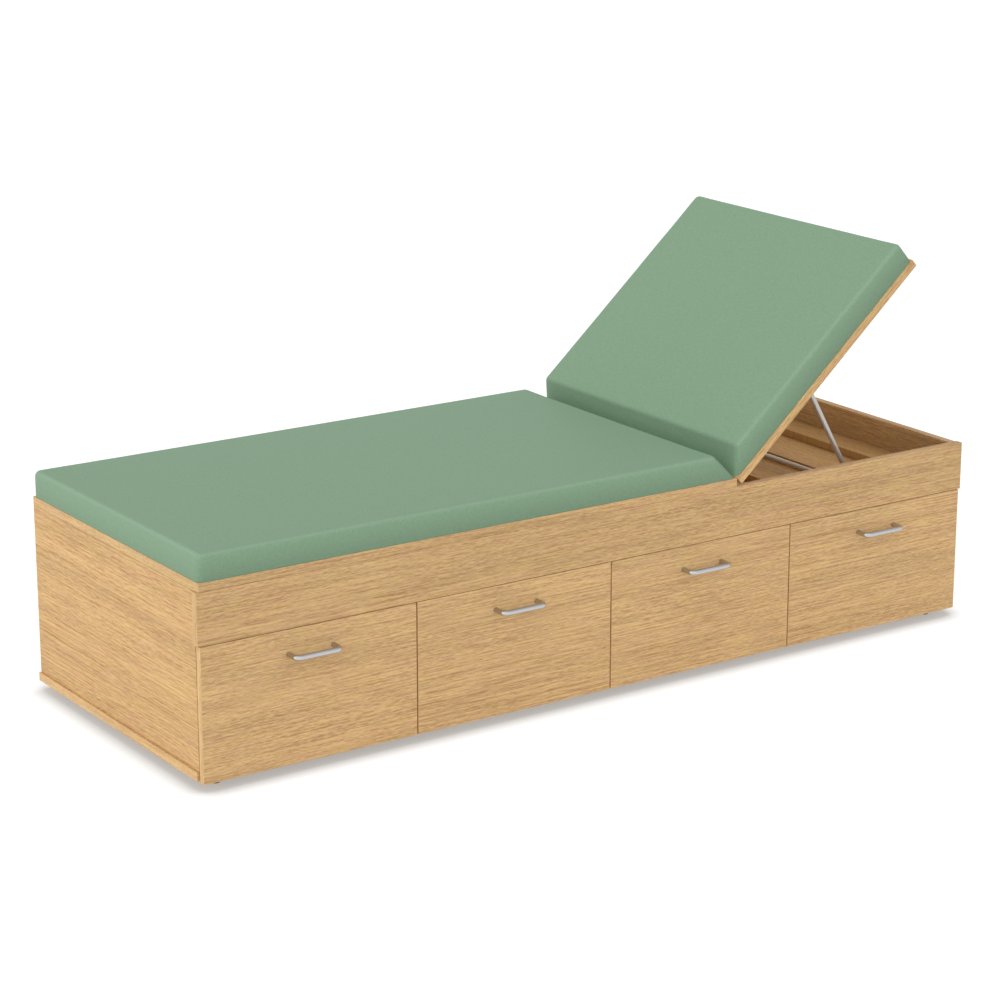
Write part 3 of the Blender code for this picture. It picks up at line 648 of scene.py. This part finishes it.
def vinyl_painted_light(outward, ends, rise, height, under_top):
    """How much painted highlight and painted shade a spot of vinyl gets, by the way that it faces."""
    slopes = [(outward.dot(normal) - normal.z) / (1 - normal.z)
              for normal, reach in ends if normal.z > LEAST_SLOPE]
    on_bevel = max([0.0] + slopes)
    on_side = outward.y ** 2
    elsewhere = max(0.0, 1 - on_bevel - on_side)
    # Painted highlight along the top edges, none on the bevels.
    highlight = under_top * (1 - max(outward.z, outward.xy.length)) / EDGE_TURN * (1 - on_bevel)
    # Painted shade: on a bevel dark at the top and light at the base, on a side darker towards the base,
    # elsewhere darker just above the base.
    shading = (on_bevel * (BEVEL_RISE * rise - BEVEL_BEND * rise ** 2 - BEVEL_BASE)
               + on_side * SIDE_SHADE * (1 - rise) ** SIDE_FALL
               + elsewhere * max(0.0, 1 - height / SHADE_HEIGHT))
    return highlight, shading


def foam_block(name, low, high, thickness, bevel_foot, bevel_head):
    """A pad in cells with a flat base and rounded sides, which keeps its vinyl's painted highlight and
    painted shade.
    """
    size = high - low
    block = bmesh.new()
    bmesh.ops.create_cube(block, size=1.0)
    for axis, length, from_low in ((0, size.x, True), (1, size.y, True), (2, thickness, False)):
        for cut in grid_cuts(length, from_low):
            point = Vector((0, 0, 0))
            point[axis] = cut / length - 0.5
            normal = Vector((0, 0, 0))
            normal[axis] = 1.0
            bmesh.ops.bisect_plane(block, geom=block.verts[:] + block.edges[:] + block.faces[:],
                                   plane_co=point, plane_no=normal)
    base = [face for face in block.faces if all(vert.co.z < -0.499 for vert in face.verts)]
    bmesh.ops.dissolve_faces(block, faces=base)
    ends, planes = pad_planes(low, high, thickness, bevel_foot, bevel_head)
    inner = [(normal, reach - SOFT_EDGE) for normal, reach in planes]
    inner_top = low.z + thickness - SOFT_EDGE
    edge_highlight = block.verts.layers.float.new("edge_highlight")
    painted_shade = block.verts.layers.float.new("painted_shade")
    for vert in block.verts:
        rise = vert.co.z + 0.5
        start = low.x + bevel_foot * rise
        end = high.x - bevel_head * rise
        place = Vector((start + (end - start) * (vert.co.x + 0.5), low.y + size.y * (vert.co.y + 0.5),
                        low.z + thickness * rise))
        core = nearest_inside(place, inner)
        outward = (place - core).normalized()
        vert.co = core + outward * SOFT_EDGE
        under_top = core.z > inner_top - NEAR
        vert[edge_highlight], vert[painted_shade] = vinyl_painted_light(outward, ends, rise, vert.co.z - low.z, under_top)
    bmesh.ops.recalc_face_normals(block, faces=block.faces[:])
    mesh = bpy.data.meshes.new(name)
    block.to_mesh(mesh)
    block.free()
    smooth_to(mesh, 60)
    return add_object(name, mesh)


MOST_SWELL = 0.0032
CLOTH_STEPS = 20


def blow_up(pad, base_z):
    """Swells the vinyl as cloth under pressure, with the base held, then keeps the result."""
    held = pad.vertex_groups.new(name="base")
    held.add([vert.index for vert in pad.data.vertices if vert.co.z < base_z + 0.001], 1.0, "ADD")
    cloth = pad.modifiers.new("vinyl_cloth", "CLOTH")
    cloth.settings.quality = 6
    cloth.settings.use_pressure = True
    cloth.settings.uniform_pressure_force = 1.5
    cloth.settings.tension_stiffness = 120.0
    cloth.settings.compression_stiffness = 120.0
    cloth.settings.bending_stiffness = 20.0
    cloth.settings.vertex_group_mass = "base"
    cloth.settings.effector_weights.gravity = 0.0
    cloth.collision_settings.use_collision = False
    cloth.point_cache.frame_start = 1
    cloth.point_cache.frame_end = CLOTH_STEPS
    scene = bpy.context.scene
    for step in range(1, CLOTH_STEPS + 1):
        scene.frame_set(step)
    swollen = pad.evaluated_get(bpy.context.evaluated_depsgraph_get())
    moves = [after.co - before.co for before, after in zip(pad.data.vertices, swollen.to_mesh().vertices)]
    swollen.to_mesh_clear()
    pad.modifiers.remove(cloth)
    share = min(1.0, MOST_SWELL / max(move.length for move in moves))
    for vert, move in zip(pad.data.vertices, moves):
        vert.co += move * share
    scene.frame_set(1)


def cushion(name, node, body, to_flat, thickness, bevel_foot, bevel_head):
    """A blown up pad in place of a soft node, made lying flat and then set where the node is."""
    low, high = flat_box(node, to_flat)
    pad = foam_block(name, low, high, thickness, bevel_foot, bevel_head)
    blow_up(pad, low.z)
    pad.data.materials.append(vinyl)
    pad.data.transform(to_flat.inverted())
    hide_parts(node)
    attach(pad, body)


PAD_THICKNESS = 0.055
SEAT_BEVEL = 0.055
BACKREST_BEVEL = 0.043
cushion("seat_pad", "seat_cushion", "carcass", Matrix.Identity(4), PAD_THICKNESS, 0.0, SEAT_BEVEL)
cushion("backrest_pad", "backrest_cushion", "backrest", lie_down, PAD_THICKNESS, BACKREST_BEVEL, 0.0)


# Floor and light
# A wide white floor under a soft sky; near the bed its colour is darkened and warmed as painted shadow, over
# the real shadow of its dim diffuse paint.
# The sky is darker overhead and brighter towards the foot, where a low card is lit.
FLOOR_REACH = 40.0
SHADOW_REACH = 0.048
SHADOW_LIGHT = 0.395
OPEN_LIGHT = 0.86
SHADOW_TINT = (1.0, 0.96, 0.91, 1)
WHITE = (1, 1, 1, 1)
floor_mesh = bpy.data.meshes.new("floor")
floor_corners = [(x * FLOOR_REACH, y * FLOOR_REACH, 0.0) for x, y in ((-1, -1), (1, -1), (1, 1), (-1, 1))]
floor_mesh.from_pydata(floor_corners, [], [(0, 1, 2, 3)])
floor = add_object("floor", floor_mesh)
floor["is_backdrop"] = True
floor_white = bpy.data.materials.new("floor_white")
floor_white.use_nodes = True
tree = floor_white.node_tree
tree.nodes.clear()
ray = add_node(tree, "LightPath")
seen = math_node(tree, "MAXIMUM", ray.outputs["Is Camera Ray"], ray.outputs["Is Glossy Ray"])
seen = math_node(tree, "MAXIMUM", seen, ray.outputs["Is Transmission Ray"])
paint = add_node(tree, "BsdfDiffuse", {"Color": rescale(tree, seen, 0.82, 0.3)})
# Painted shadow: the floor's emission is darkened and warmed by ambient occlusion where the bed hems it in.
open_sky = add_node(tree, "AmbientOcclusion", {"Distance": SHADOW_REACH}, samples=16).outputs["AO"]
open_floor = rescale(tree, open_sky, 0.0, 1.0, from_low=0.52, from_high=0.98)
lit = rescale(tree, open_floor, SHADOW_LIGHT, OPEN_LIGHT)
glow = mix_colour(tree, open_floor, SHADOW_TINT, WHITE)
bleach = add_node(tree, "Emission", {"Color": glow, "Strength": math_node(tree, "MULTIPLY", seen, lit)})
both = add_node(tree, "AddShader", {0: paint.outputs[0], 1: bleach.outputs[0]})
add_node(tree, "OutputMaterial", {"Surface": both.outputs[0]})
floor_mesh.materials.append(floor_white)

HORIZON_LIGHT = 1.185
OVERHEAD_LIGHT = 0.685
FOOT_SIDE = (-0.9, -0.43, 0.0)
sky = bpy.data.worlds.new("studio_sky")
bpy.context.scene.world = sky
sky.use_nodes = True
tree = sky.node_tree
tree.nodes.clear()
source = add_node(tree, "TexCoord")
height = add_node(tree, "SeparateXYZ", {0: source.outputs["Generated"]}).outputs[2]
steep = math_node(tree, "MULTIPLY", height, height)
towards_foot = add_node(tree, "VectorMath", {0: source.outputs["Generated"], 1: FOOT_SIDE},
                        operation="DOT_PRODUCT").outputs["Value"]
tilt = rescale(tree, towards_foot, -0.3, 0.15, from_low=-0.6, from_high=0.6)
brightness = math_node(tree, "ADD", rescale(tree, steep, HORIZON_LIGHT, OVERHEAD_LIGHT), tilt)
sky_light = add_node(tree, "Background", {"Color": WHITE, "Strength": brightness})
add_node(tree, "OutputWorld", {"Surface": sky_light.outputs[0]})

card_light = bpy.data.lights.new("foot_card", "AREA")
card_light.shape = "RECTANGLE"
card_light.size = 0.5
card_light.size_y = 2.6
card_light.energy = 3.0
card = add_object("foot_card", card_light)
card.location = (-2.7, 0.0, 0.27)
card.rotation_euler = (0, math.radians(-90), 0)


# Camera
# A long lens at the foot end, a little above the bed, on the drawer side.
CAMERA_AZIMUTH = math.radians(-34.112)
CAMERA_ELEVATION = math.radians(16.316)
camera_data = bpy.data.cameras.new("camera")
camera_data.lens = 105.35
camera_data.sensor_width = 36.0
camera_data.clip_end = 200.0
camera = add_object("camera", camera_data)
camera.location = (-3.361, -4.8904, 2.078)
look_back = Vector((math.sin(CAMERA_AZIMUTH) * math.cos(CAMERA_ELEVATION),
                    -math.cos(CAMERA_AZIMUTH) * math.cos(CAMERA_ELEVATION), math.sin(CAMERA_ELEVATION)))
camera.rotation_euler = (-look_back).to_track_quat("-Z", "Y").to_euler()
bpy.context.scene.camera = camera
bpy.context.scene.view_settings.view_transform = "Standard"

low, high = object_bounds()
